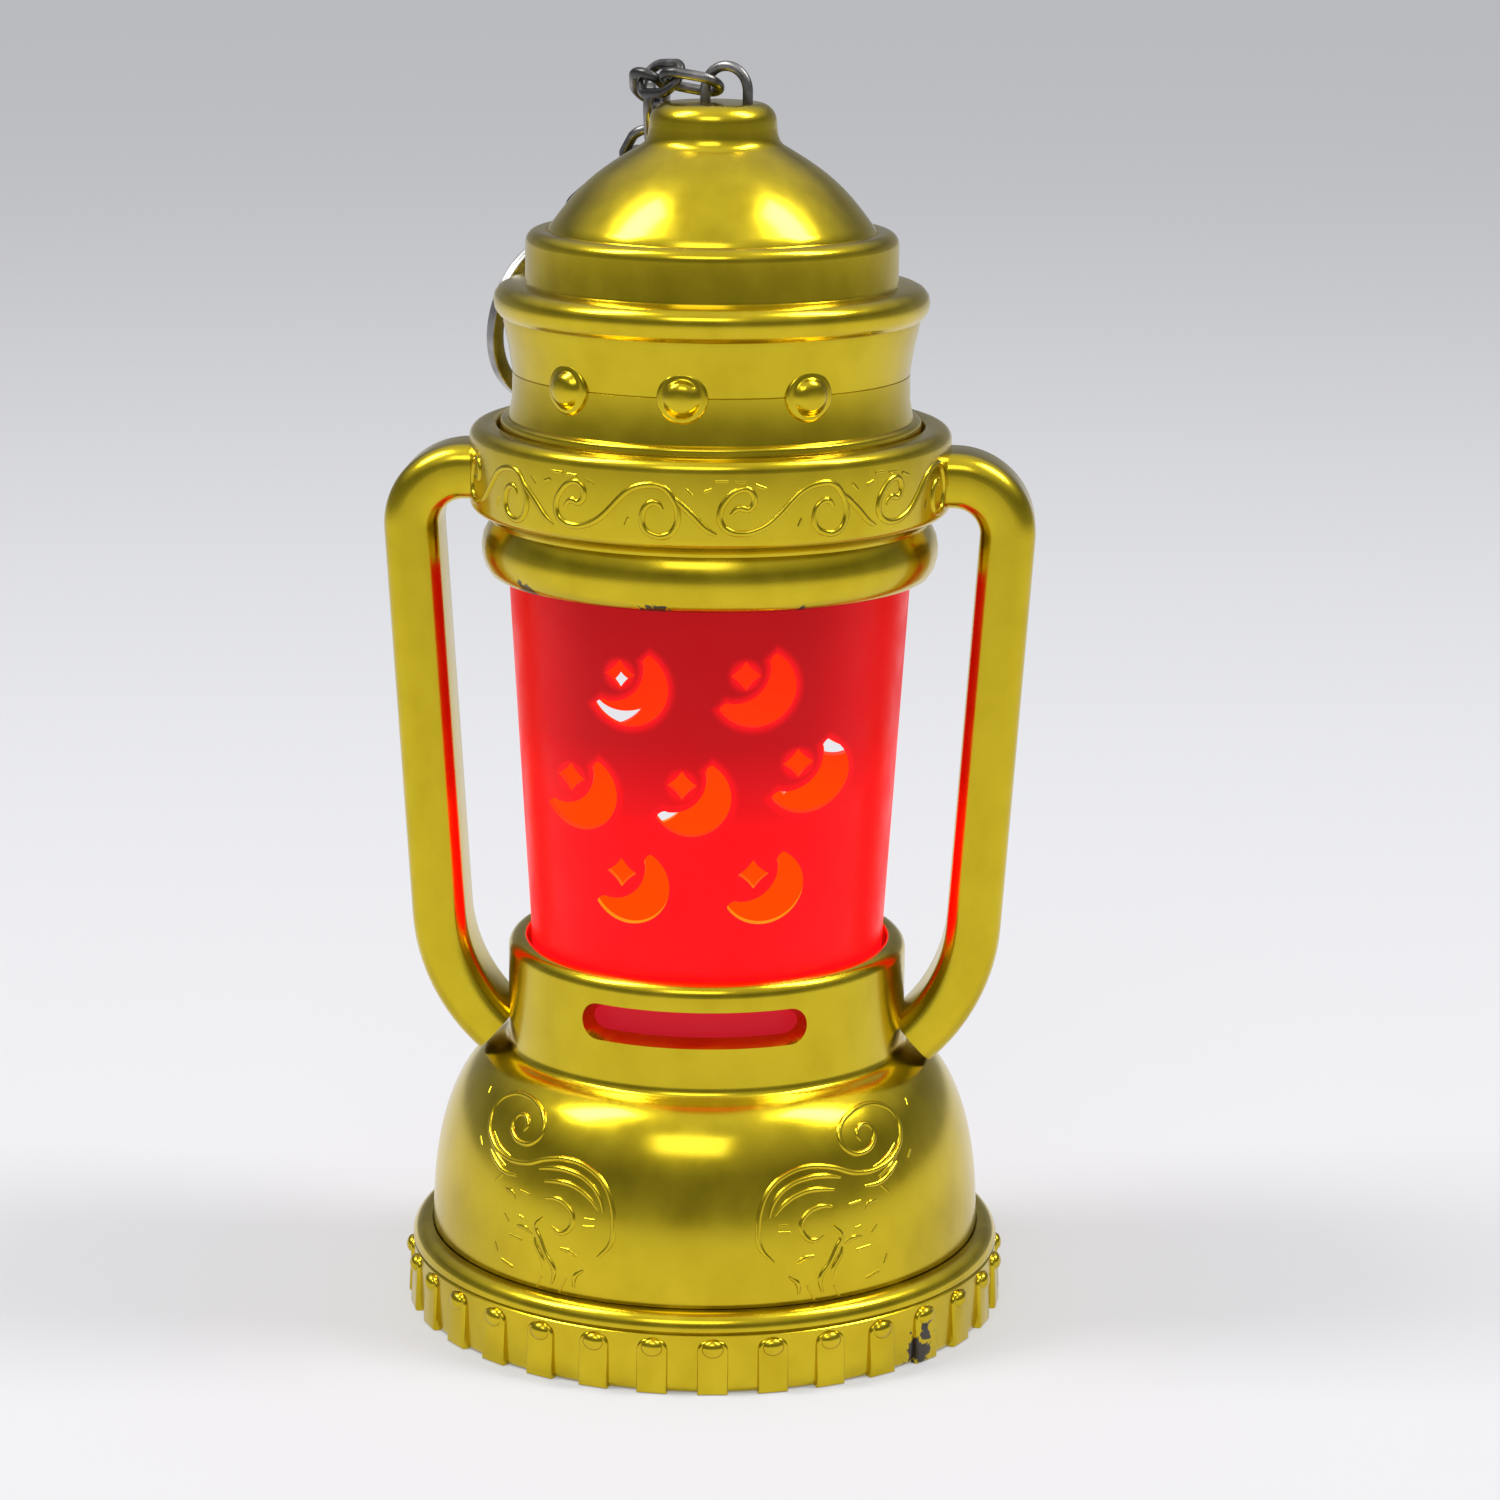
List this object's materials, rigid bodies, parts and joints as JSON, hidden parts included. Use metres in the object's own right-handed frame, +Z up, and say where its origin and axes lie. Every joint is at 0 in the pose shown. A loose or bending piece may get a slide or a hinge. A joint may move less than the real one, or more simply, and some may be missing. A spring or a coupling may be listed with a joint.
{
  "type": "hand lantern",
  "caption": "Small battery fanous lantern: gold bell base and domed cap joined by side arms round a lit red sleeve cut with crescents and stars, with a short chain and split ring.",
  "frame": {"origin": "on the table under the middle of the lantern, at the centre of the base's foot", "axes": "+Z up, -Y towards the slotted front, X through the two side arms"},
  "size_m": [0.0508, 0.049, 0.0988],
  "materials": {
    "gold_plated_plastic": "thin metallised gold finish on moulded plastic, glossy",
    "red_translucent_plastic": "translucent red plastic, smooth, lit from inside",
    "chain_wire": "blackened steel wire",
    "ring_steel": "dull nickel plated spring steel",
    "white_plastic": "plain moulded plastic",
    "lamp_lens": "clear red epoxy lens",
    "board_green": "printed board with lacquer",
    "black_resin": "black potting resin",
    "resistor_body": "lacquered body",
    "cell_steel": "nickel plated cell can",
    "contact_metal": "nickel plated spring sheet",
    "screw_steel": "zinc plated screw",
    "switch_case": "tinned steel case",
    "black_plastic": "matt black plastic",
    "red_insulation": "soft insulation",
    "black_insulation": "soft insulation"
  },
  "bodies": {
    "lantern": {"base_cover": "gold_plated_plastic", "body_frame": "gold_plated_plastic", "lamp_sleeve": "red_translucent_plastic", "top_cap": "gold_plated_plastic", "hanging_eye": "chain_wire", "lamp_holder": "white_plastic", "lamp": "lamp_lens", "circuit_board": "board_green", "flasher_chip": "black_resin", "resistor": "resistor_body", "battery_tray": "white_plastic", "cell_1": "cell_steel", "cell_2": "cell_steel", "cell_3": "cell_steel", "contact_plus": "contact_metal", "contact_minus": "contact_metal", "switch_body": "switch_case", "wire_red": "red_insulation", "wire_black": "black_insulation", "base_screw_1": "screw_steel", "base_screw_2": "screw_steel", "base_screw_3": "screw_steel"},
    "switch_button": {"switch_slider": "black_plastic"},
    "battery_door": {"battery_cover": "gold_plated_plastic", "cover_screw_left": "screw_steel", "cover_screw_right": "screw_steel"},
    "link_1": {"chain_link_1": "chain_wire"},
    "link_2": {"chain_link_2": "chain_wire"},
    "link_3": {"chain_link_3": "chain_wire"},
    "link_4": {"chain_link_4": "chain_wire"},
    "link_5": {"chain_link_5": "chain_wire"},
    "link_6": {"chain_link_6": "chain_wire"},
    "link_7": {"chain_link_7": "chain_wire"},
    "link_8": {"chain_link_8": "chain_wire"},
    "key_ring": {"split_ring": "ring_steel"}
  },
  "joints": [
    {"name": "switch_slide", "type": "slide", "parent": "lantern", "child": "switch_button", "axis": [1, 0, 0], "range_m": [0, 0.002]},
    {"name": "battery_cover_off", "type": "slide", "parent": "lantern", "child": "battery_door", "axis": [0, 0, -1], "range_m": [0, 0.006]},
    {"name": "link_1_swing", "type": "hinge", "parent": "lantern", "child": "link_1", "pos_m": [-0.00068, 0.00078, 0.09697], "axis": [0.1392, 0.9903, 0], "range_deg": [0, 20]},
    {"name": "link_2_swing", "type": "hinge", "parent": "link_1", "child": "link_2", "pos_m": [-0.00324, 0.00114, 0.09736], "axis": [0.766, 0.6428, 0], "range_deg": [0, 30]},
    {"name": "link_3_swing", "type": "hinge", "parent": "link_2", "child": "link_3", "pos_m": [-0.00521, 0.00348, 0.09714], "axis": [0.9976, 0.0698, 0], "range_deg": [0, 40]},
    {"name": "link_4_swing", "type": "hinge", "parent": "link_3", "child": "link_4", "pos_m": [-0.0054, 0.00622, 0.09556], "axis": [1, 0, 0], "range_deg": [0, 40]},
    {"name": "link_5_swing", "type": "hinge", "parent": "link_4", "child": "link_5", "pos_m": [-0.0054, 0.00789, 0.09266], "axis": [0.866, 0.5, 0], "range_deg": [0, 12]},
    {"name": "link_6_swing", "type": "hinge", "parent": "link_5", "child": "link_6", "pos_m": [-0.0067, 0.01014, 0.09048], "axis": [0.2924, 0.9563, 0], "range_deg": [0, 12]},
    {"name": "link_7_swing", "type": "hinge", "parent": "link_6", "child": "link_7", "pos_m": [-0.00895, 0.01083, 0.08803], "axis": [0.2079, 0.9781, 0], "range_deg": [0, 20]},
    {"name": "link_8_swing", "type": "hinge", "parent": "link_7", "child": "link_8", "pos_m": [-0.01147, 0.01137, 0.0858], "axis": [-0.0698, 0.9976, 0], "range_deg": [0, 40]},
    {"name": "ring_swing", "type": "hinge", "parent": "link_8", "child": "key_ring", "pos_m": [-0.01263, 0.01129, 0.08393], "axis": [0.6293, 0.7771, 0], "range_deg": [0, 60]}
  ]
}
